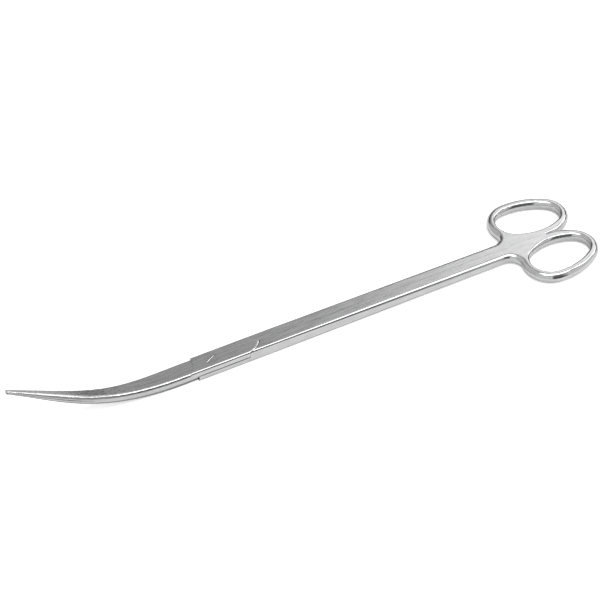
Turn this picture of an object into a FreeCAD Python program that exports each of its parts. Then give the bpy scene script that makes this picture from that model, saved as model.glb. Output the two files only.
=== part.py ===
import FreeCAD, Part
import math
import os
import Sketcher

# Curved dissecting scissors, closed, lying on the flat side of the joint.
# Origin: on the pivot axis at the underside of the joint. +X runs to the finger rings,
# the tips lie at -X and curve up along +Z. Lengths are millimetres, angles are degrees.

SIZES = {
    # lap joint
    "joint_thickness": 6.0,
    "joint_width": 9.7,
    "joint_rounding": 0.9,
    "lap_gap": 0.12,
    "seam_gap": 0.08,
    "lap_chamfer": 0.2,
    # rear shoulder and front corner of the lap joint
    "shoulder_start": 16.6,
    "shoulder_end": 23.9,
    "shoulder_radius": 11.3,
    "shoulder_gap": 0.15,
    "heel_far": 8.0,
    "heel_near": 12.0,
    "heel_radius": 12.6,
    # shanks: from behind the joint to the neck in front of the rings
    "shoulder_to_shank": 3.1,
    "pivot_to_neck": 146.6,
    "neck_width": 10.2,
    "neck_rounding": 2.1,
    # finger rings: outer outline, then hole
    "pivot_to_rear": 190.0,
    "ring_thickness": 5.3,
    "ring_length": 38.6,
    "ring_front_radius": 12.7,
    "ring_rear_radius": 10.9,
    "ring_outer_radius": 33.9,
    "ring_inner_radius": 24.0,
    "ring_overlap": 0.93,
    "ring_bar_width": 3.6,
    "hole_to_rear": 18.3,
    "hole_inner_radius": 25.3,
    "hole_rounding": 1.0,
    "hole_chamfer": 0.6,
    # blades: line of the parting face, then widths and thicknesses of one blade
    "pivot_to_tip": 94.0,
    "curve_start": 22.0,
    "curve_radius": 92.0,
    "curve_angle": 30.5,
    "spine_root": 4.7,
    "spine_middle": 2.55,
    "spine_tip": 1.05,
    "edge_root": 3.85,
    "edge_middle": 2.45,
    "edge_tip": 0.95,
    "spine_thickness_root": 2.78,
    "spine_thickness_middle": 2.0,
    "spine_thickness_tip": 0.95,
    "edge_thickness_root": 2.7,
    "edge_thickness_middle": 1.45,
    "edge_thickness_tip": 0.7,
    "spine_rounding_root": 1.2,
    "spine_rounding_middle": 1.3,
    "spine_rounding_tip": 0.6,
    "edge_bevel": 0.3,
    "parting_bevel": 0.35,
    "tip_radius": 1.0,
    # pivot screw
    "head_diameter": 5.8,
    "head_height": 1.3,
    "neck_diameter": 3.8,
    "thread_diameter": 3.0,
    "running_fit": 0.05,
    "thread_fit": 0.02,
    "slot_width": 0.95,
    "slot_depth": 0.4,
    "slot_angle": 28.5,
}

# Cuts run past the solid by OVERSHOOT. Places nearer than TOUCH count as the same.
OVERSHOOT = 5.0
TOUCH = 0.01
# A rounding takes at most these shares of the thickness or of the ring's bar.
ROUNDED_THICKNESS = 0.45
ROUNDED_BAR_OUTSIDE = 0.6
ROUNDED_BAR_INSIDE = 0.3


class Size:
    """A number worked out from the sheet, with the expression that ties a sketch to it."""

    def __init__(self, number, text):
        self.number = number
        self.text = text

    def __add__(self, other):
        other = as_size(other)
        return Size(self.number + other.number, f"({self.text} + {other.text})")

    def __sub__(self, other):
        other = as_size(other)
        return Size(self.number - other.number, f"({self.text} - {other.text})")

    def __mul__(self, other):
        other = as_size(other)
        return Size(self.number * other.number, f"({self.text} * {other.text})")

    def __truediv__(self, other):
        other = as_size(other)
        return Size(self.number / other.number, f"({self.text} / {other.text})")

    def __neg__(self):
        return Size(-self.number, f"(0 - {self.text})")

    def __radd__(self, other):
        return as_size(other) + self

    def __rsub__(self, other):
        return as_size(other) - self

    def __rmul__(self, other):
        return as_size(other) * self


def as_size(value):
    if isinstance(value, Size):
        return value
    return Size(float(value), f"{float(value):.6f}")


def root(value):
    return Size(math.sqrt(value.number), f"sqrt({value.text})")


def sine(angle):
    return Size(math.sin(math.radians(angle.number)), f"sin({angle.text})")


def cosine(angle):
    return Size(math.cos(math.radians(angle.number)), f"cos({angle.text})")


def lesser(one, other):
    return Size(min(one.number, other.number), f"min({one.text}; {other.text})")


def make_sheet(doc):
    sheet = doc.addObject("Spreadsheet::Sheet", "Sizes")
    for row, (alias, value) in enumerate(SIZES.items(), start=1):
        sheet.set(f"A{row}", alias)
        sheet.set(f"B{row}", str(value))
        sheet.setAlias(f"B{row}", alias)
    doc.recompute()
    return {alias: Size(float(sheet.get(alias)), f"Sizes.{alias}") for alias in SIZES}


# Sketch helpers

def new_sketch(body, name, role, offset=None):
    """A sketch on one of the body's own origin planes, lifted off it by offset."""
    plane = [item for item in body.Origin.OriginFeatures if item.Role == role][0]
    sketch = body.newObject("Sketcher::SketchObject", name)
    sketch.AttachmentSupport = [(plane, "")]
    sketch.MapMode = "FlatFace"
    if offset is not None:
        sketch.setExpression("AttachmentOffset.Base.z", offset.text)
    return sketch


def bind(sketch, constraint, size):
    index = sketch.addConstraint(constraint)
    sketch.setExpression(f"Constraints[{index}]", size.text)


def place_point(sketch, geometry, end, point):
    bind(sketch, Sketcher.Constraint("DistanceX", geometry, end, point[0].number), point[0])
    bind(sketch, Sketcher.Constraint("DistanceY", geometry, end, point[1].number), point[1])


def vector(point):
    return FreeCAD.Vector(point[0].number, point[1].number, 0)


def arc_between(start, end, radius, turn):
    """The short arc from start to end. It turns left where turn is 1 and right where it is -1."""
    chord = end - start
    height = math.sqrt(max(radius ** 2 - chord.Length ** 2 / 4, 0))
    normal = FreeCAD.Vector(-chord.y, chord.x, 0).normalize()
    centre = start + chord * 0.5 + normal * (turn * height)
    first, last = (start, end) if turn > 0 else (end, start)
    first_angle = math.atan2(first.y - centre.y, first.x - centre.x)
    last_angle = math.atan2(last.y - centre.y, last.x - centre.x)
    return Part.ArcOfCircle(Part.Circle(centre, FreeCAD.Vector(0, 0, 1), radius), first_angle, last_angle)


def draw_outline(sketch, points, arcs=None):
    """A closed outline through points. arcs gives (radius, turn) for a side that is an arc."""
    arcs = arcs or {}
    ends = []
    for side, point in enumerate(points):
        start = vector(point)
        end = vector(points[(side + 1) % len(points)])
        if side in arcs:
            radius, turn = arcs[side]
            geometry = sketch.addGeometry(arc_between(start, end, radius.number, turn), False)
            ends.append((geometry, 1, 2) if turn > 0 else (geometry, 2, 1))
        else:
            geometry = sketch.addGeometry(Part.LineSegment(start, end), False)
            ends.append((geometry, 1, 2))
    for side, (geometry, start_end, far_end) in enumerate(ends):
        following = ends[(side + 1) % len(ends)]
        sketch.addConstraint(Sketcher.Constraint("Coincident", geometry, far_end, following[0], following[1]))
        place_point(sketch, geometry, start_end, points[side])
        if side in arcs:
            radius = arcs[side][0]
            bind(sketch, Sketcher.Constraint("Radius", geometry, radius.number), radius)


def draw_circle(sketch, radius, centre):
    circle = Part.Circle(vector(centre), FreeCAD.Vector(0, 0, 1), radius.number)
    geometry = sketch.addGeometry(circle, False)
    place_point(sketch, geometry, 3, centre)
    bind(sketch, Sketcher.Constraint("Radius", geometry, radius.number), radius)


def cut_through(body, name, sketch, both_ways=False):
    pocket = body.newObject("PartDesign::Pocket", name)
    pocket.Profile = sketch
    pocket.Type = "ThroughAll"
    pocket.Midplane = both_ways
    return pocket


# One half: blade, joint lobe, shank and ring

def middle_of(edge):
    return edge.valueAt((edge.FirstParameter + edge.LastParameter) / 2)


def dress_edges(body, kind, name, size, chosen):
    """A fillet or a chamfer of a size along the body's level edges that are chosen."""
    body.Document.recompute()
    base = body.Tip
    names = []
    for number, edge in enumerate(base.Shape.Edges, start=1):
        heights = [vertex.Point.z for vertex in edge.Vertexes]
        if max(heights) - min(heights) < TOUCH and chosen(edge):
            names.append(f"Edge{number}")
    feature = body.newObject(f"PartDesign::{kind}", name)
    feature.Base = (base, names)
    feature.setExpression("Radius" if kind == "Fillet" else "Size", size.text)


def outer_rounding(z):
    """Rounding of the outer edges at the neck and round the ring."""
    limit = lesser(z["ring_thickness"] * ROUNDED_THICKNESS, z["ring_bar_width"] * ROUNDED_BAR_OUTSIDE)
    return lesser(z["neck_rounding"], limit)


def hole_centre(z):
    """Centre of the hole's long inner arc."""
    seam = z["seam_gap"] / 2
    return z["pivot_to_rear"] - z["hole_to_rear"], seam + z["ring_bar_width"] + z["hole_inner_radius"]


def end_centre(z, radius, x):
    """Centre at x of a ring end's arcs, whose hole arc runs on from the hole's long inner arc."""
    inner = hole_centre(z)
    reach = z["hole_inner_radius"] + z["ring_bar_width"] - radius
    return x, inner[1] - root(reach * reach - (inner[0] - x) * (inner[0] - x))


def front_centre(z):
    radius = z["ring_front_radius"]
    return end_centre(z, radius, z["pivot_to_rear"] - z["ring_length"] + radius)


def rear_centre(z):
    radius = z["ring_rear_radius"]
    return end_centre(z, radius, z["pivot_to_rear"] - radius)


def inner_centre(z):
    """Centre of the outline's long inner arc, which reaches past the seam before it is cut there."""
    rear = rear_centre(z)
    y = z["seam_gap"] / 2 - z["ring_overlap"] + z["ring_inner_radius"]
    reach = z["ring_inner_radius"] - z["ring_rear_radius"]
    return rear[0] - root(reach * reach - (y - rear[1]) * (y - rear[1])), y


def outer_centre(front, rear, front_radius, rear_radius, radius):
    """Centre of the arc of a radius that runs on from both end arcs on the ring's outer side."""
    span = rear - front
    front_reach = radius - front_radius
    along = (front_reach ** 2 - (radius - rear_radius) ** 2 + span.Length ** 2) / (2 * span.Length)
    across = math.sqrt(front_reach ** 2 - along ** 2)
    unit = FreeCAD.Vector(span).normalize()
    return front + unit * along + FreeCAD.Vector(unit.y, -unit.x, 0) * across


def meeting(large, small, radius):
    """Point where an arc about large, of a radius, runs on into a smaller one inside it."""
    return large + (small - large).normalize() * radius


def add_arc(sketch, centre, radius, first, last):
    start = math.atan2(first.y - centre.y, first.x - centre.x)
    end = math.atan2(last.y - centre.y, last.x - centre.x)
    circle = Part.Circle(centre, FreeCAD.Vector(0, 0, 1), radius)
    return sketch.addGeometry(Part.ArcOfCircle(circle, start, end), False)


def draw_ring_outline(sketch, z):
    """Outline of the ring with its neck: ring arcs 1 to 4, neck arc 5, closed by lines 0 and 6."""
    half = z["neck_width"] / 2
    front, rear, inner = [vector(point) for point in (front_centre(z), rear_centre(z), inner_centre(z))]
    names = ("ring_inner_radius", "ring_rear_radius", "ring_outer_radius", "ring_front_radius")
    inner_radius, rear_radius, outer_radius, front_radius = [z[name].number for name in names]
    outer = outer_centre(front, rear, front_radius, rear_radius, outer_radius)
    neck = FreeCAD.Vector(z["pivot_to_neck"].number, half.number, 0)
    low = FreeCAD.Vector(inner.x, inner.y - inner_radius, 0)
    corner = FreeCAD.Vector(neck.x, low.y, 0)
    reach = front - neck
    neck_radius = (reach.x ** 2 + reach.y ** 2 - front_radius ** 2) / (2 * (reach.y + front_radius))
    neck_centre = FreeCAD.Vector(neck.x, neck.y + neck_radius, 0)
    rear_low = meeting(inner, rear, inner_radius)
    rear_high = meeting(outer, rear, outer_radius)
    front_high = meeting(outer, front, outer_radius)
    neck_end = meeting(front, neck_centre, front_radius)
    sketch.addGeometry(Part.LineSegment(corner, low), False)
    add_arc(sketch, inner, inner_radius, low, rear_low)
    add_arc(sketch, rear, rear_radius, rear_low, rear_high)
    add_arc(sketch, outer, outer_radius, rear_high, front_high)
    add_arc(sketch, front, front_radius, front_high, neck_end)
    add_arc(sketch, neck_centre, neck_radius, neck, neck_end)
    sketch.addGeometry(Part.LineSegment(neck, corner), False)
    for side in range(4):
        sketch.addConstraint(Sketcher.Constraint("Tangent", side, 2, side + 1, 1))
    sketch.addConstraint(Sketcher.Constraint("Tangent", 4, 2, 5, 2))
    sketch.addConstraint(Sketcher.Constraint("Coincident", 5, 1, 6, 1))
    sketch.addConstraint(Sketcher.Constraint("Coincident", 6, 2, 0, 1))
    sketch.addConstraint(Sketcher.Constraint("Horizontal", 0))
    sketch.addConstraint(Sketcher.Constraint("Vertical", 6))
    sketch.addConstraint(Sketcher.Constraint("Vertical", 5, 3, 5, 1))
    for arc, name in enumerate(names, start=1):
        bind(sketch, Sketcher.Constraint("Radius", arc, z[name].number), z[name])
    place_point(sketch, 2, 3, rear_centre(z))
    place_point(sketch, 4, 3, front_centre(z))
    place_point(sketch, 0, 1, (z["pivot_to_neck"], z["seam_gap"] / 2 - z["ring_overlap"]))
    bind(sketch, Sketcher.Constraint("DistanceY", 5, 1, half.number), half)


def hole_radii(z):
    """Radii of the hole's arcs: rear, outer, front and inner."""
    bar = z["ring_bar_width"]
    outer_arcs = [z[name] - bar for name in ("ring_rear_radius", "ring_outer_radius", "ring_front_radius")]
    return outer_arcs + [z["hole_inner_radius"]]


def draw_hole(sketch, z):
    """The finger hole: four arcs, a bar's width inside the outline."""
    radii = hole_radii(z)
    front, rear, inner = [vector(point) for point in (front_centre(z), rear_centre(z), hole_centre(z))]
    rear_radius, outer_radius, front_radius, inner_radius = [radius.number for radius in radii]
    outer = outer_centre(front, rear, front_radius, rear_radius, outer_radius)
    rear_low = meeting(inner, rear, inner_radius)
    rear_high = meeting(outer, rear, outer_radius)
    front_high = meeting(outer, front, outer_radius)
    front_low = meeting(inner, front, inner_radius)
    add_arc(sketch, rear, rear_radius, rear_low, rear_high)
    add_arc(sketch, outer, outer_radius, rear_high, front_high)
    add_arc(sketch, front, front_radius, front_high, front_low)
    add_arc(sketch, inner, inner_radius, front_low, rear_low)
    for arc, radius in enumerate(radii):
        sketch.addConstraint(Sketcher.Constraint("Tangent", arc, 2, (arc + 1) % len(radii), 1))
        bind(sketch, Sketcher.Constraint("Radius", arc, radius.number), radius)
    place_point(sketch, 0, 3, rear_centre(z))
    place_point(sketch, 2, 3, front_centre(z))


def pad(body, name, sketch, thickness):
    feature = body.newObject("PartDesign::Pad", name)
    feature.Profile = sketch
    feature.setExpression("Length", thickness.text)


def add_ring(body, z, bend):
    """Ring and neck as one flat forging, rounded all round, cut flat along the seam, web filled."""
    seam = z["seam_gap"] / 2
    neck_x = z["pivot_to_neck"]
    thickness = z["ring_thickness"]
    under = (z["joint_thickness"] - thickness) / 2
    outline = new_sketch(body, "ring_outline", "XY_Plane", under)
    draw_ring_outline(outline, z)
    pad(body, "ring_plate", outline, thickness)
    dress_edges(body, "Fillet", "ring_rounding", outer_rounding(z),
                lambda edge: middle_of(edge).x > neck_x.number + TOUCH)

    beyond = z["pivot_to_rear"] + OVERSHOOT
    clear = -z["ring_overlap"] - OVERSHOOT
    front = neck_x - OVERSHOOT
    seam_line = new_sketch(body, "seam_line", "XY_Plane")
    draw_outline(seam_line, [(front, clear), (beyond, clear), (beyond, seam), (front, seam)])
    cut_through(body, "seam_cut", seam_line, both_ways=True)

    web_top = (seam - z["ring_overlap"] + z["neck_width"] / 2) / 2
    web_end = inner_centre(z)[0]
    web_outline = new_sketch(body, "web_outline", "XY_Plane", under)
    draw_outline(web_outline, [(neck_x, seam), (web_end, seam), (web_end, web_top), (neck_x, web_top)])
    pad(body, "web", web_outline, thickness)

    hole = new_sketch(body, "hole_outline", "XY_Plane", under)
    draw_hole(hole, z)
    cut_through(body, "finger_hole", hole, both_ways=True)
    radii = [radius.number for radius in hole_radii(z)]
    middle = z["joint_thickness"].number / 2

    def round_the_hole(edge, side):
        """True for the hole's edges on the upper side (1) or the under side (-1) of the closed pair."""
        if not isinstance(edge.Curve, Part.Circle) or side * bend * (middle_of(edge).z - middle) < 0:
            return False
        return min(abs(edge.Curve.Radius - radius) for radius in radii) < TOUCH

    limit = z["ring_bar_width"] * ROUNDED_BAR_INSIDE
    dress_edges(body, "Fillet", "hole_rounding", lesser(z["hole_rounding"], limit),
                lambda edge: round_the_hole(edge, 1))
    dress_edges(body, "Chamfer", "hole_chamfer", lesser(z["hole_chamfer"], limit),
                lambda edge: round_the_hole(edge, -1))


def shank_start(z):
    return z["shoulder_end"] + z["shoulder_to_shank"]


def add_joint(body, z):
    """The lobe: a flat bar whose long edges and rear shoulder are rounded."""
    half = z["joint_width"] / 2
    seam = z["seam_gap"] / 2
    end = shank_start(z)
    points = [
        (-z["heel_near"], -half),
        (z["shoulder_start"], -half),
        (z["shoulder_end"], seam),
        (end, seam),
        (end, half),
        (-z["heel_far"], half),
    ]
    sketch = new_sketch(body, "joint_outline", "XY_Plane")
    draw_outline(sketch, points, {1: (z["shoulder_radius"], 1), 5: (z["heel_radius"], -1)})
    pad(body, "joint_bar", sketch, z["joint_thickness"])

    def outside(edge):
        """True for the top of the near side and shoulder, and for both edges of the far side."""
        middle = middle_of(edge)
        top = middle.z > z["joint_thickness"].number / 2
        near_side = top and middle.y < seam.number - TOUCH and middle.x > -z["heel_far"].number
        far_side = abs(middle.y - half.number) < TOUCH
        return middle.x < end.number - TOUCH and (near_side or far_side)

    dress_edges(body, "Fillet", "joint_rounding", z["joint_rounding"], outside)


def bar_section(body, name, z, x, width, thickness, rounding):
    """Section of one shank at x: flat along the seam, rounded at its two outer edges."""
    seam = z["seam_gap"] / 2
    half = width / 2
    low = (z["joint_thickness"] - thickness) / 2
    high = low + thickness
    sketch = new_sketch(body, name, "YZ_Plane", x)
    points = [
        (seam, low),
        (half - rounding, low),
        (half, low + rounding),
        (half, high - rounding),
        (half - rounding, high),
        (seam, high),
    ]
    draw_outline(sketch, points, {1: (rounding, 1), 3: (rounding, 1)})
    return sketch


def add_shank(body, z):
    """The shank tapers in thickness, and its rounding grows from the joint to the neck."""
    joint = bar_section(body, "shank_front", z, shank_start(z), z["joint_width"],
                        z["joint_thickness"], z["joint_rounding"])
    neck = bar_section(body, "shank_rear", z, z["pivot_to_neck"], z["neck_width"],
                       z["ring_thickness"], outer_rounding(z))
    shank = body.newObject("PartDesign::AdditiveLoft", "shank")
    shank.Profile = joint
    shank.Sections = [neck]
    shank.Ruled = True


def cut_lap(body, z):
    """The inner half of the bar is cut away to the middle, back to the other half's shoulder."""
    half = z["joint_width"] / 2
    clear = half + OVERSHOOT
    shift = z["shoulder_gap"]
    seam = z["seam_gap"] / 2
    front = -z["heel_near"] - OVERSHOOT
    level = (z["joint_thickness"] + z["lap_gap"]) / 2
    sketch = new_sketch(body, "lap_outline", "XY_Plane", level)
    points = [
        (front, -clear),
        (z["shoulder_end"] + shift, -clear),
        (z["shoulder_end"] + shift, -seam),
        (z["shoulder_start"] + shift, half),
        (z["shoulder_start"] + shift, clear),
        (front, clear),
    ]
    draw_outline(sketch, points, {2: (z["shoulder_radius"], 1)})
    cut_through(body, "lap_cut", sketch)

    def parting_edge(edge):
        middle = middle_of(edge)
        return abs(middle.z - level.number) < TOUCH and abs(abs(middle.y) - half.number) < TOUCH

    dress_edges(body, "Chamfer", "lap_chamfer", z["lap_chamfer"], parting_edge)


def blade_stations(z, bend):
    """Places along the parting face: distance from the pivot, height and cosine of its slope."""
    middle = z["joint_thickness"] / 2
    stations = []
    for distance in (z["heel_far"], z["curve_start"]):
        stations.append((distance, middle, as_size(1)))
    for share in (1 / 3, 2 / 3, 1):
        angle = z["curve_angle"] * share
        distance = z["curve_start"] + z["curve_radius"] * sine(angle)
        height = middle + bend * z["curve_radius"] * (1 - cosine(angle))
        stations.append((distance, height, cosine(angle)))
    slope = sine(z["curve_angle"]) / cosine(z["curve_angle"])
    last_distance, last_height, last_cosine = stations[-1]
    straight = z["pivot_to_tip"] - last_distance
    for share in (0.5, 1):
        height = last_height + bend * slope * straight * share
        stations.append((last_distance + straight * share, height, last_cosine))
    return stations


def tapered(z, name, distance):
    """A size that keeps its root value to the curve, tapers along the curve and again to the tip."""
    start = z["curve_start"]
    if distance.number <= start.number:
        return z[f"{name}_root"]
    middle = start + z["curve_radius"] * sine(z["curve_angle"])
    if distance.number <= middle.number:
        share = (distance - start) / (middle - start)
        return z[f"{name}_root"] + (z[f"{name}_middle"] - z[f"{name}_root"]) * share
    share = (distance - middle) / (z["pivot_to_tip"] - middle)
    return z[f"{name}_middle"] + (z[f"{name}_tip"] - z[f"{name}_middle"]) * share


def add_blade(body, z, bend):
    """Blade body lofted through upright sections: round spine, tilted face, bevelled edge."""
    sections = []
    for number, (distance, height, slope) in enumerate(blade_stations(z, bend)):
        spine = tapered(z, "spine", distance)
        edge = tapered(z, "edge", distance)
        rounding = tapered(z, "spine_rounding", distance)
        thickness = tapered(z, "spine_thickness", distance)
        spine_top = height + thickness / slope
        edge_top = height + tapered(z, "edge_thickness", distance) / slope
        edge_side = height + tapered(z, "edge_thickness", distance) * 0.5 / slope
        drop = rounding / slope
        arc_radius = root((rounding * rounding + drop * drop) / 2)
        bevel = lesser(z["parting_bevel"], (thickness - rounding) / 2) / slope
        sketch = new_sketch(body, f"blade_section_{number}", "YZ_Plane", -distance)
        points = [
            (bevel + z["lap_gap"] - spine, height - z["lap_gap"]),
            (edge, height - z["lap_gap"]),
            (edge, edge_side),
            (edge - z["edge_bevel"], edge_top),
            (rounding - spine, spine_top),
            (-spine, spine_top - drop),
            (-spine, height + bevel),
        ]
        draw_outline(sketch, points, {4: (arc_radius, 1)})
        sections.append(sketch)
    blade = body.newObject("PartDesign::AdditiveLoft", "blade")
    blade.Profile = sections[0]
    blade.Sections = sections[1:]


def cut_parting_face(body, z, bend):
    """The inner face of the blade: level at the joint, then an arc, then straight to the tip."""
    middle = z["joint_thickness"] / 2
    gap = z["lap_gap"] / 2
    radius = z["curve_radius"] - bend * gap
    end_x = z["curve_start"] + radius * sine(z["curve_angle"])
    end_z = middle + bend * (z["curve_radius"] - radius * cosine(z["curve_angle"]))
    slope = sine(z["curve_angle"]) / cosine(z["curve_angle"])
    tip_x = z["pivot_to_tip"] + OVERSHOOT
    tip_z = end_z + bend * slope * (tip_x - end_x)
    floor = middle - z["pivot_to_tip"]
    points = [
        (as_size(0), middle + gap),
        (-z["curve_start"], middle + gap),
        (-end_x, end_z),
        (-tip_x, tip_z),
        (-tip_x, floor),
        (as_size(0), floor),
    ]
    sketch = new_sketch(body, "parting_line", "XZ_Plane")
    draw_outline(sketch, points, {1: (radius, -bend)})
    cut_through(body, "parting_cut", sketch, both_ways=True)


def round_tip(body, z):
    """The end of the blade is rounded in plan."""
    reach = z["pivot_to_tip"]
    shoulder = z["tip_radius"] - reach
    outer = -reach - OVERSHOOT
    clear = z["spine_tip"] + OVERSHOOT
    points = [
        (shoulder, z["tip_radius"]),
        (-reach, as_size(0)),
        (shoulder, -z["tip_radius"]),
        (shoulder, -clear),
        (outer, -clear),
        (outer, clear),
        (shoulder, clear),
    ]
    arcs = {0: (z["tip_radius"], 1), 1: (z["tip_radius"], 1)}
    sketch = new_sketch(body, "tip_outline", "XY_Plane")
    draw_outline(sketch, points, arcs)
    cut_through(body, "tip_cut", sketch, both_ways=True)


def make_half(doc, name, z, bend):
    """A half in its own position: outer side up, blade bent up (1) or down (-1)."""
    body = doc.addObject("PartDesign::Body", name)
    body.Label = name
    body.AllowCompound = True
    add_ring(body, z, bend)
    add_joint(body, z)
    add_shank(body, z)
    cut_lap(body, z)
    add_blade(body, z, bend)
    cut_parting_face(body, z, bend)
    round_tip(body, z)
    return body


def bore(body, name, radius, level, depth=None):
    """A round hole down from level, right through or to a depth."""
    sketch = new_sketch(body, f"{name}_circle", "XY_Plane", level)
    draw_circle(sketch, radius, (as_size(0), as_size(0)))
    hole = cut_through(body, name, sketch)
    if depth is not None:
        hole.Type = "Length"
        hole.setExpression("Length", depth.text)


def make_upper_half(doc, z):
    body = make_half(doc, "upper_half", z, 1)
    fit = z["running_fit"]
    top = z["joint_thickness"]
    bore(body, "neck_bore", z["neck_diameter"] / 2 + fit, top)
    bore(body, "head_bore", z["head_diameter"] / 2 + fit, top, z["head_height"] + fit)
    return body


def make_lower_half(doc, z):
    """The lower half is turned over about the long axis, so that its outer side is underneath."""
    body = make_half(doc, "lower_half", z, -1)
    bore(body, "thread_bore", z["thread_diameter"] / 2 + z["thread_fit"], z["joint_thickness"])
    body.Placement = FreeCAD.Placement(
        FreeCAD.Vector(0, 0, z["joint_thickness"].number), FreeCAD.Rotation(FreeCAD.Vector(1, 0, 0), 180))
    body.setExpression("Placement.Base.z", z["joint_thickness"].text)
    return body


def make_screw(doc, z):
    """Flush slotted screw: head and neck turn in the upper half, the thread holds the lower one."""
    body = doc.addObject("PartDesign::Body", "pivot_screw")
    body.Label = "pivot_screw"
    top = z["joint_thickness"]
    seat = top / 2 - z["lap_gap"] / 2
    under_head = top - z["head_height"]
    head = z["head_diameter"] / 2
    neck = z["neck_diameter"] / 2
    thread = z["thread_diameter"] / 2
    nothing = as_size(0)
    sketch = new_sketch(body, "screw_profile", "XZ_Plane")
    draw_outline(sketch, [
        (nothing, nothing),
        (thread, nothing),
        (thread, seat),
        (neck, seat),
        (neck, under_head),
        (head, under_head),
        (head, top),
        (nothing, top),
    ])
    turned = body.newObject("PartDesign::Revolution", "turned_screw")
    turned.Profile = sketch
    turned.ReferenceAxis = (sketch, ["V_Axis"])
    turned.Angle = 360
    depth = z["slot_depth"]
    groove_radius = (z["slot_width"] * z["slot_width"] / 4 + depth * depth) / (2 * depth)
    groove = new_sketch(body, "slot_section", "YZ_Plane")
    groove.AttachmentOffset = FreeCAD.Placement(
        FreeCAD.Vector(0, 0, 0), FreeCAD.Rotation(FreeCAD.Vector(0, 1, 0), z["slot_angle"].number))
    groove.setExpression("AttachmentOffset.Rotation.Angle", z["slot_angle"].text)
    draw_circle(groove, groove_radius, (as_size(0), top - depth + groove_radius))
    cut_through(body, "slot", groove, both_ways=True)
    return body


def check(doc, bodies):
    for item in doc.Objects:
        if "Invalid" in item.State or "Error" in item.State:
            raise RuntimeError(f"{item.Name} failed: {item.State}")
    for body in bodies:
        if body.Shape.isNull() or not body.Shape.isValid():
            raise RuntimeError(f"{body.Label} has no valid shape")
        if len(body.Shape.Solids) != 1:
            raise RuntimeError(f"{body.Label} is not one solid")


def main():
    doc = FreeCAD.newDocument("dissecting_scissors")
    z = make_sheet(doc)
    bodies = [make_upper_half(doc, z), make_lower_half(doc, z), make_screw(doc, z)]
    doc.recompute()
    check(doc, bodies)
    os.makedirs("parts", exist_ok=True)
    for body in bodies:
        body.Shape.exportStep(f"parts/{body.Label}.step")
        box = body.Shape.BoundBox
        print(body.Label, round(body.Shape.Volume, 1), [round(v, 2) for v in (
            box.XMin, box.XMax, box.YMin, box.YMax, box.ZMin, box.ZMax)])


main()
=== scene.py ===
import math

import bpy
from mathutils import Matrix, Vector


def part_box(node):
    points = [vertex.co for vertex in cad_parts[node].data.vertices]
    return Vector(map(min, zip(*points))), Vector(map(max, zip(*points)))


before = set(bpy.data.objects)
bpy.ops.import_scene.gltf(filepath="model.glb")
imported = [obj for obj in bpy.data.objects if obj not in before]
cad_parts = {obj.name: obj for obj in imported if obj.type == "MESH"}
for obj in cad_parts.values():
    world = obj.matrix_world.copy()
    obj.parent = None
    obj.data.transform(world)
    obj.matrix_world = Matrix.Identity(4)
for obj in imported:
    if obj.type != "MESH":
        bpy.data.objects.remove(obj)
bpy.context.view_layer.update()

# Lengths are metres. The object's own frame: origin on the pivot axis, +X to the rings, +Z up.
# A pair of numbers is where a smooth step starts and where it ends.

MM = 0.001

# Finishes
STEEL = (0.63, 0.63, 0.635)
SCREW_STEEL = (0.60, 0.60, 0.605)
FLAT_ROUGHNESS = 0.30
FLAT_ROUGHNESS_SPREAD = 0.04
EDGE_ROUGHNESS = 0.13
RING_ROUGHNESS = 0.05
# Where a face counts as an edge, by the sideways part of its normal, and as rounded, by its tilt
EDGE_FACING = (0.18, 0.45)
ROUNDED_TILT = (0.01, 0.08)

# Grain: noise cycles per metre along X, Y and Z, its detail, and its share of the tone
STREAKS = {"scale": (90.0, 1800.0, 1800.0), "detail": 4.0}
CLOUDS = {"scale": (160.0, 420.0, 420.0), "detail": 3.0}
GRAIN_RANGE = (0.32, 0.68)
STREAK_SHARE = 0.6
GRAIN_CONTRAST = 0.10
GRAIN_BUMP_STRENGTH = 0.10
GRAIN_BUMP_DEPTH = 0.02 * MM

# Painted shade: rounded edges are darkened between these two steps of the normal's sideways part, a painted
# dark reflection line
EDGE_SHADE_LINE_START = (0.62, 0.76)
EDGE_SHADE_LINE_END = (0.975, 0.9995)
EDGE_SHADE_LINE_TONE = 0.46
EDGE_SHADE_LINE_FADE = (60 * MM, 170 * MM)

# Painted shade darkens the joint's seams and the screw's slot, where ambient occlusion finds them
CREVICE_REACH = 0.7 * MM
CREVICE_OPENNESS = (0.30, 0.85)
CREVICE_SHADE_TONE = 0.5
CREVICE_SAMPLES = 8

# The polished rings start this far before the rear end, and are fully polished further on
RING_LENGTH = 46 * MM
RING_BLEND = 10 * MM
# Half height of the rings' round section, as a share of the joint's half thickness
RING_HEIGHT_SHARE = 0.885
# How far the section is flattened about its 30 degree slope: 0 is none, 1 is flat there
RING_SHOULDER = 0.65

# Floor
FLOOR_SIZE = 6.0
FLOOR_WHITE = 0.86
FLOOR_GLOW = 0.48

# Room: sine of the elevation and level
ROOM_LEVELS = ((0.0, 0.05), (0.30, 0.125), (0.50, 0.22), (0.72, 0.40), (1.0, 0.60))
# White screens in front: level, sine of the top's height, and bearings of the gap's two sides
SCREEN_LEVEL = 0.75
SCREEN_TOP = (0.50, 0.66)
SCREEN_FRONT = (0.05, 0.25)
GAP_LEFT = (-0.36, -0.20)
GAP_RIGHT = (0.38, 0.58)
# A dimmer screen on the left
LEFT_SCREEN_SIDE = (0.25, 0.50)
LEFT_SCREEN_TOP = (0.82, 0.94)
LEFT_SCREEN_SHARE = 0.80

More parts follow.
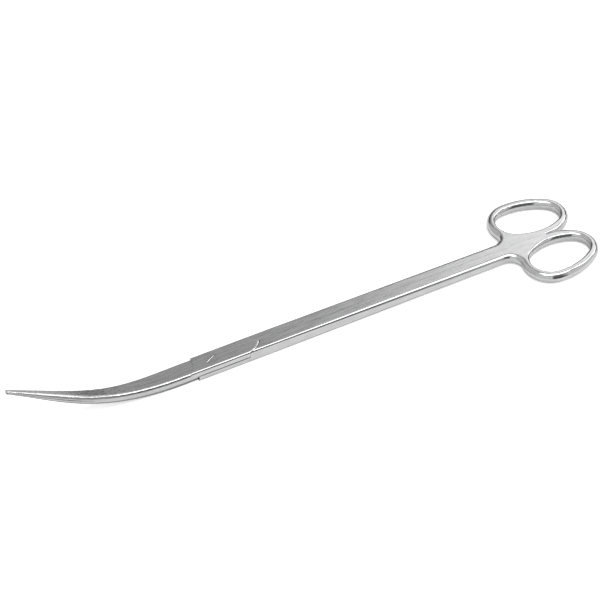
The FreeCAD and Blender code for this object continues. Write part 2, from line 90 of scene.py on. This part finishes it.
# Softboxes: name, place, point aimed at, width and height, watts
SOFTBOXES = (
    ("overhead", (0.07, -0.40, 0.94), (0.07, 0.0, 0.0), (1.34, 0.64), 7.0),
    ("overhead_right", (1.06, -0.36, 0.90), (0.20, 0.0, 0.0), (0.34, 0.75), 2.1),
    ("rear_right", (0.82, 0.56, 0.74), (0.12, 0.0, 0.0), (0.55, 0.50), 1.15),
    ("right", (1.05, 0.02, 0.46), (0.0, 0.0, 0.0), (0.5, 0.4), 1.2),
)

# Camera, read from the photograph's perspective
CAMERA_TARGET = Vector((54.5, 18.8, 0.1)) * MM
CAMERA_AZIMUTH = math.radians(28.62)
CAMERA_ELEVATION = math.radians(43.0)
CAMERA_DISTANCE = 1055 * MM
CAMERA_LENS_MM = 141.4
CAMERA_SENSOR_MM = 36.0


def add(tree, kind, **values):
    """A node with its properties, or its input sockets by name, set from values."""
    node = tree.nodes.new(kind)
    for name, value in values.items():
        if name in node.inputs:
            node.inputs[name].default_value = value
        else:
            setattr(node, name, value)
    return node


def feed(tree, value, socket):
    """Links an output to the socket, or sets the socket to a plain value."""
    if isinstance(value, bpy.types.NodeSocket):
        tree.links.new(value, socket)
    else:
        socket.default_value = value


def calculate(tree, operation, *values):
    node = add(tree, "ShaderNodeMath", operation=operation)
    for value, socket in zip(values, node.inputs):
        feed(tree, value, socket)
    return node.outputs[0]


def calculate_vector(tree, operation, *values):
    node = add(tree, "ShaderNodeVectorMath", operation=operation)
    for value, socket in zip(values, [socket for socket in node.inputs if socket.enabled]):
        feed(tree, value, socket)
    return node.outputs["Vector"]


def product(tree, first, *others):
    for other in others:
        first = calculate(tree, "MULTIPLY", first, other)
    return first


def inverse(tree, value):
    return calculate(tree, "SUBTRACT", 1.0, value)


def mix(tree, data_type, factor, first, second):
    """Goes from first to second as factor goes from 0 to 1."""
    node = add(tree, "ShaderNodeMix", data_type=data_type)
    for value, socket in zip((factor, first, second), [socket for socket in node.inputs if socket.enabled]):
        feed(tree, value, socket)
    return [socket for socket in node.outputs if socket.enabled][0]


def step_between(tree, value, start, end):
    """0 below start, 1 above end, smooth between them."""
    node = add(tree, "ShaderNodeMapRange", interpolation_type="SMOOTHSTEP")
    node.inputs["From Min"].default_value = start
    node.inputs["From Max"].default_value = end
    tree.links.new(value, node.inputs["Value"])
    return node.outputs["Result"]


def split(tree, vector):
    """The vector's X, Y and Z outputs."""
    node = add(tree, "ShaderNodeSeparateXYZ")
    tree.links.new(vector, node.inputs[0])
    return node.outputs[:]


def grain(tree, coordinates, scale, detail):
    """Noise drawn out along X, as a belt leaves it, stretched to the range 0 to 1."""
    mapping = add(tree, "ShaderNodeMapping", Scale=scale)
    noise = add(tree, "ShaderNodeTexNoise", Scale=1.0, Detail=detail)
    tree.links.new(coordinates, mapping.inputs["Vector"])
    tree.links.new(mapping.outputs["Vector"], noise.inputs["Vector"])
    return step_between(tree, noise.outputs["Fac"], *GRAIN_RANGE)


def upward_part(tree, height):
    """The upward part of the normal of a bar that is polished round about half its height."""
    low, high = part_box("upper_half")[0].z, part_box("pivot_screw")[1].z
    middle = (low + high) / 2
    reach = (high - low) / 2 * RING_HEIGHT_SHARE
    offset = calculate(tree, "DIVIDE", calculate(tree, "SUBTRACT", height, middle), reach)
    above = calculate(tree, "MINIMUM", calculate(tree, "ABSOLUTE", offset), 1.0)
    centred = calculate(tree, "SUBTRACT", calculate(tree, "MULTIPLY", above, 2.0), 1.0)
    steady = product(tree, centred, (1.0 - RING_SHOULDER) / 2)
    flattened = product(tree, centred, centred, centred, RING_SHOULDER / 2)
    slope = calculate(tree, "ADD", calculate(tree, "ADD", steady, flattened), 0.5)
    return product(tree, slope, calculate(tree, "SIGN", offset))


def rounded_normal(tree, height, share):
    """The surface's normal, turned by share to that of the round bar, whichever way it faces."""
    upward = upward_part(tree, height)
    sideways = calculate(tree, "SQRT", inverse(tree, product(tree, upward, upward)))
    surface = add(tree, "ShaderNodeNewGeometry").outputs["Normal"]
    level = calculate_vector(tree, "MULTIPLY", surface, (1.0, 1.0, 0.0))
    outward = calculate_vector(tree, "NORMALIZE", level)
    rise = add(tree, "ShaderNodeCombineXYZ")
    tree.links.new(upward, rise.inputs["Z"])
    turned = calculate_vector(
        tree, "ADD", calculate_vector(tree, "SCALE", outward, sideways), rise.outputs["Vector"])
    return mix(tree, "VECTOR", share, surface, turned)


def steel_material(name, colour, ring_start, ring_end):
    """Satin flats with a grain along X, brighter rounded edges, polished finger rings, and painted shade
    along the rounded edges and in the seams.
    """
    material = bpy.data.materials.new(name)
    material.use_nodes = True
    tree = material.node_tree
    shader = tree.nodes["Principled BSDF"]
    shader.inputs["Metallic"].default_value = 1.0
    coordinates = add(tree, "ShaderNodeTexCoord")
    place_x, _, place_z = split(tree, coordinates.outputs["Object"])
    _, facing_y, facing_z = split(tree, coordinates.outputs["Normal"])
    sideways = calculate(tree, "ABSOLUTE", facing_y)
    tilt = inverse(tree, calculate(tree, "ABSOLUTE", facing_z))
    edge = step_between(tree, sideways, *EDGE_FACING)
    ring = step_between(tree, place_x, ring_start, ring_end)
    polished = product(tree, ring, step_between(tree, tilt, *ROUNDED_TILT))
    streaks = grain(tree, coordinates.outputs["Object"], **STREAKS)
    clouds = grain(tree, coordinates.outputs["Object"], **CLOUDS)

    satin = mix(tree, "FLOAT", streaks, FLAT_ROUGHNESS - FLAT_ROUGHNESS_SPREAD,
                FLAT_ROUGHNESS + FLAT_ROUGHNESS_SPREAD)
    bright_edge = mix(tree, "FLOAT", edge, satin, EDGE_ROUGHNESS)
    roughness = mix(tree, "FLOAT", polished, bright_edge, RING_ROUGHNESS)
    tree.links.new(roughness, shader.inputs["Roughness"])

    mottle = calculate(tree, "ADD", product(tree, streaks, STREAK_SHARE),
                       product(tree, clouds, 1.0 - STREAK_SHARE))
    grained = mix(tree, "FLOAT", mottle, 1.0 - GRAIN_CONTRAST, 1.0 + GRAIN_CONTRAST)
    # Painted shade: a dark reflection line painted on the rounded edges, fading out along X
    painted_shade_line = calculate(tree, "SUBTRACT", step_between(tree, sideways, *EDGE_SHADE_LINE_START),
                     step_between(tree, sideways, *EDGE_SHADE_LINE_END))
    painted_shade_line = product(tree, painted_shade_line, inverse(tree, step_between(tree, place_x, *EDGE_SHADE_LINE_FADE)))
    edge_shaded = mix(tree, "FLOAT", painted_shade_line, 1.0, EDGE_SHADE_LINE_TONE)
    # Painted shade in the seams and the slot, darker where ambient occlusion is low
    crevice = add(tree, "ShaderNodeAmbientOcclusion", samples=CREVICE_SAMPLES, Distance=CREVICE_REACH)
    openness = step_between(tree, crevice.outputs["AO"], *CREVICE_OPENNESS)
    shaded = mix(tree, "FLOAT", openness, CREVICE_SHADE_TONE, 1.0)
    # The grain's random tone times the painted shade of the edges and the seams
    grain_and_painted_shade = product(tree, grained, edge_shaded, shaded)
    tree.links.new(calculate_vector(tree, "SCALE", colour, grain_and_painted_shade), shader.inputs["Base Color"])

    bump = add(tree, "ShaderNodeBump", Strength=GRAIN_BUMP_STRENGTH, Distance=GRAIN_BUMP_DEPTH)
    tree.links.new(rounded_normal(tree, place_z, polished), bump.inputs["Normal"])
    tree.links.new(product(tree, streaks, inverse(tree, polished)), bump.inputs["Height"])
    tree.links.new(bump.outputs["Normal"], shader.inputs["Normal"])
    return material


def dress(node, material):
    """Puts the material into every slot of the node."""
    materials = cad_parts[node].data.materials
    if not materials:
        materials.append(material)
    for slot in range(len(materials)):
        materials[slot] = material


def make_floor():
    """A white sheet that carries on past the picture, and keeps the object's shadow."""
    bpy.ops.mesh.primitive_plane_add(size=FLOOR_SIZE, location=(0, 0, 0))
    floor = bpy.context.object
    floor.name = "floor"
    material = bpy.data.materials.new("floor_white")
    material.use_nodes = True
    tree = material.node_tree
    tree.nodes.clear()
    output = add(tree, "ShaderNodeOutputMaterial")
    paper = add(tree, "ShaderNodeBsdfDiffuse", Color=(FLOOR_WHITE, FLOOR_WHITE, FLOOR_WHITE, 1.0))
    glow = add(tree, "ShaderNodeEmission", Color=(1.0, 1.0, 1.0, 1.0))
    seen = add(tree, "ShaderNodeLightPath").outputs["Is Camera Ray"]
    both = add(tree, "ShaderNodeAddShader")
    tree.links.new(product(tree, seen, FLOOR_GLOW), glow.inputs["Strength"])
    tree.links.new(paper.outputs[0], both.inputs[0])
    tree.links.new(glow.outputs[0], both.inputs[1])
    tree.links.new(both.outputs[0], output.inputs["Surface"])
    floor.data.materials.append(material)


def make_world():
    """A dark room, lighter overhead, with white screens to both sides of a gap in front."""
    world = bpy.data.worlds.new("studio")
    bpy.context.scene.world = world
    world.use_nodes = True
    tree = world.node_tree
    background = tree.nodes["Background"]
    background.inputs["Strength"].default_value = 1.0
    rightward, backward, rise = split(tree, add(tree, "ShaderNodeTexCoord").outputs["Generated"])
    ramp = add(tree, "ShaderNodeValToRGB")
    tree.links.new(rise, ramp.inputs["Fac"])
    elements = ramp.color_ramp.elements
    while len(elements) < len(ROOM_LEVELS):
        elements.new(0.5)
    for element, (position, level) in zip(elements, ROOM_LEVELS):
        element.position = position
        element.color = (level, level, level, 1.0)

    forward = product(tree, backward, -1.0)
    in_front = step_between(tree, forward, *SCREEN_FRONT)
    bearing = calculate(tree, "DIVIDE", rightward, calculate(tree, "MAXIMUM", forward, SCREEN_FRONT[0]))
    gap = calculate(tree, "SUBTRACT", step_between(tree, bearing, *GAP_LEFT),
                    step_between(tree, bearing, *GAP_RIGHT))
    below_top = inverse(tree, step_between(tree, rise, *SCREEN_TOP))
    front_screens = product(tree, in_front, inverse(tree, gap), below_top)

    to_the_left = step_between(tree, product(tree, rightward, -1.0), *LEFT_SCREEN_SIDE)
    below_left_top = inverse(tree, step_between(tree, rise, *LEFT_SCREEN_TOP))
    left_screen = product(tree, to_the_left, below_left_top, LEFT_SCREEN_SHARE)

    screen = calculate(tree, "MAXIMUM", front_screens, left_screen)
    white = (SCREEN_LEVEL, SCREEN_LEVEL, SCREEN_LEVEL, 1.0)
    room = mix(tree, "RGBA", screen, ramp.outputs["Color"], white)
    tree.links.new(room, background.inputs["Color"])


def add_softbox(name, location, target, size, power):
    light = bpy.data.lights.new(name, "AREA")
    light.shape = "RECTANGLE"
    light.size, light.size_y = size
    light.energy = power
    lamp = bpy.data.objects.new(name, light)
    bpy.context.scene.collection.objects.link(lamp)
    lamp.location = location
    aim = Vector(target) - Vector(location)
    lamp.rotation_euler = aim.to_track_quat("-Z", "Y").to_euler()


def make_camera():
    camera = bpy.data.cameras.new("camera")
    camera.sensor_width = CAMERA_SENSOR_MM
    camera.lens = CAMERA_LENS_MM
    holder = bpy.data.objects.new("camera", camera)
    bpy.context.scene.collection.objects.link(holder)
    forward = Vector((
        math.cos(CAMERA_ELEVATION) * math.sin(CAMERA_AZIMUTH),
        math.cos(CAMERA_ELEVATION) * math.cos(CAMERA_AZIMUTH),
        -math.sin(CAMERA_ELEVATION),
    ))
    holder.location = CAMERA_TARGET - forward * CAMERA_DISTANCE
    holder.rotation_euler = forward.to_track_quat("-Z", "Y").to_euler()
    bpy.context.scene.camera = holder


ring_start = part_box("upper_half")[1].x - RING_LENGTH
ring_end = ring_start + RING_BLEND
steel = steel_material("satin_steel", STEEL, ring_start, ring_end)
dress("upper_half", steel)
dress("lower_half", steel)
dress("pivot_screw", steel_material("screw_steel", SCREW_STEEL, ring_start, ring_end))

make_floor()
make_world()
for softbox in SOFTBOXES:
    add_softbox(*softbox)
make_camera()
bpy.context.scene.view_settings.view_transform = "Standard"
